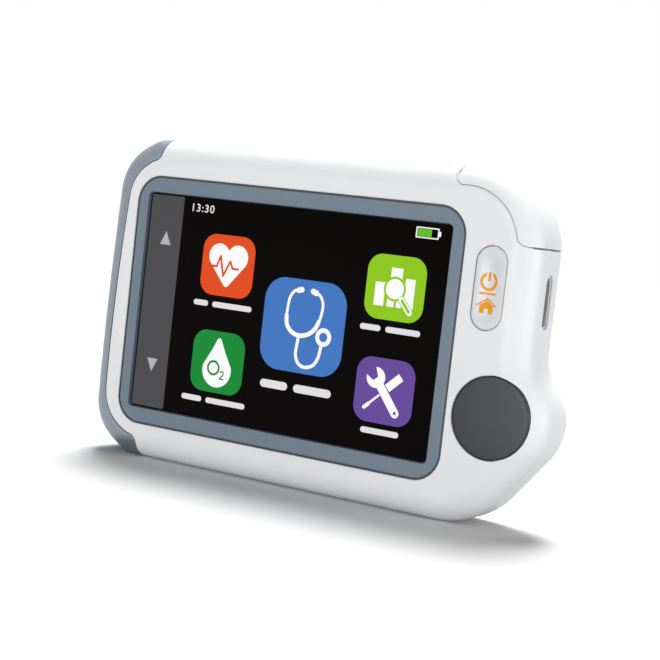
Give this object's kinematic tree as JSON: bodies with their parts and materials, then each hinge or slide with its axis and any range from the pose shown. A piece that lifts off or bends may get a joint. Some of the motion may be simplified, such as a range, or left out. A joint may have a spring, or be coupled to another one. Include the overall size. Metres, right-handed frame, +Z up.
{
  "type": "ambulatory ecg monitor",
  "caption": "Handheld heart monitor with a touch screen, a home key, electrodes at both hands and on the back, and a hinged fingertip sensor at the upper right corner.",
  "frame": {"origin": "middle of the bottom edge that the device stands on, half way through its depth", "axes": "+X to the right across the front, -Y towards the user, +Z up"},
  "size_m": [0.088, 0.013, 0.056],
  "materials": {
    "white_shell": "satin white moulded plastic, soft gloss",
    "white_key": "satin white key with orange printed symbols",
    "band_steel": "satin blue-grey plated metal",
    "plate_steel": "dark satin metal",
    "bezel_paint": "blue-grey painted frame, satin",
    "screen_glass": "black touch screen with lit symbols, smooth gloss",
    "display_frame": "dark display frame",
    "tray_plastic": "dark moulded plastic",
    "dark_foam": "fine black foam",
    "amber_film": "amber flexible circuit film",
    "black_plastic": "black moulded plastic",
    "gold_contact": "gold plated spring strip",
    "spring_steel": "drawn steel wire",
    "dark_silicone": "soft dark silicone",
    "sensor_window": "dark red window",
    "circuit_board": "green solder mask",
    "tin_plate": "tinned sheet",
    "cell_foil": "foil pouch",
    "label_film": "blank silver-grey film",
    "screw_steel": "blackened steel"
  },
  "bodies": {
    "casing": {"front_housing": "white_shell", "rear_cover": "white_shell", "left_electrode": "band_steel", "bezel_ring": "bezel_paint", "touch_glass": "screen_glass", "display_gasket": "dark_foam", "display_module": "display_frame", "display_tray": "tray_plastic", "display_flex": "amber_film", "home_switch": "black_plastic", "right_electrode": "plate_steel", "back_electrode": "plate_steel", "left_contact": "gold_contact", "right_contact": "gold_contact", "back_contact": "gold_contact", "cover_hinge_pin": "spring_steel", "cover_spring": "spring_steel", "base_pad": "dark_silicone", "detector_window": "sensor_window", "sensor_board": "circuit_board", "connector_shell": "tin_plate", "connector_tongue": "black_plastic", "main_board": "circuit_board", "shield_can": "tin_plate", "processor_chip": "black_plastic", "memory_chip": "black_plastic", "battery": "cell_foil", "battery_foam": "dark_foam", "speaker": "black_plastic", "label_plate": "label_film", "cover_screw_1": "screw_steel", "cover_screw_2": "screw_steel", "cover_screw_3": "screw_steel", "cover_screw_4": "screw_steel"},
    "home_key": {"home_button": "white_key", "switch_plunger": "black_plastic"},
    "sensor_clip": {"sensor_cover": "white_shell", "cover_pad": "dark_silicone", "emitter_window": "sensor_window"}
  },
  "joints": [
    {"name": "home_key_press", "type": "slide", "parent": "casing", "child": "home_key", "axis": [0, 1, 0], "range_m": [0, 0.00035], "stiffness_N_per_m": 1500},
    {"name": "sensor_clip_hinge", "type": "hinge", "parent": "casing", "child": "sensor_clip", "pos_m": [0.0225, 0, 0.05485], "axis": [0, -1, 0], "range_deg": [0, 30], "stiffness_Nm_per_rad": 0.03, "springref_deg": -20.05, "deforming": ["cover_spring"]}
  ]
}
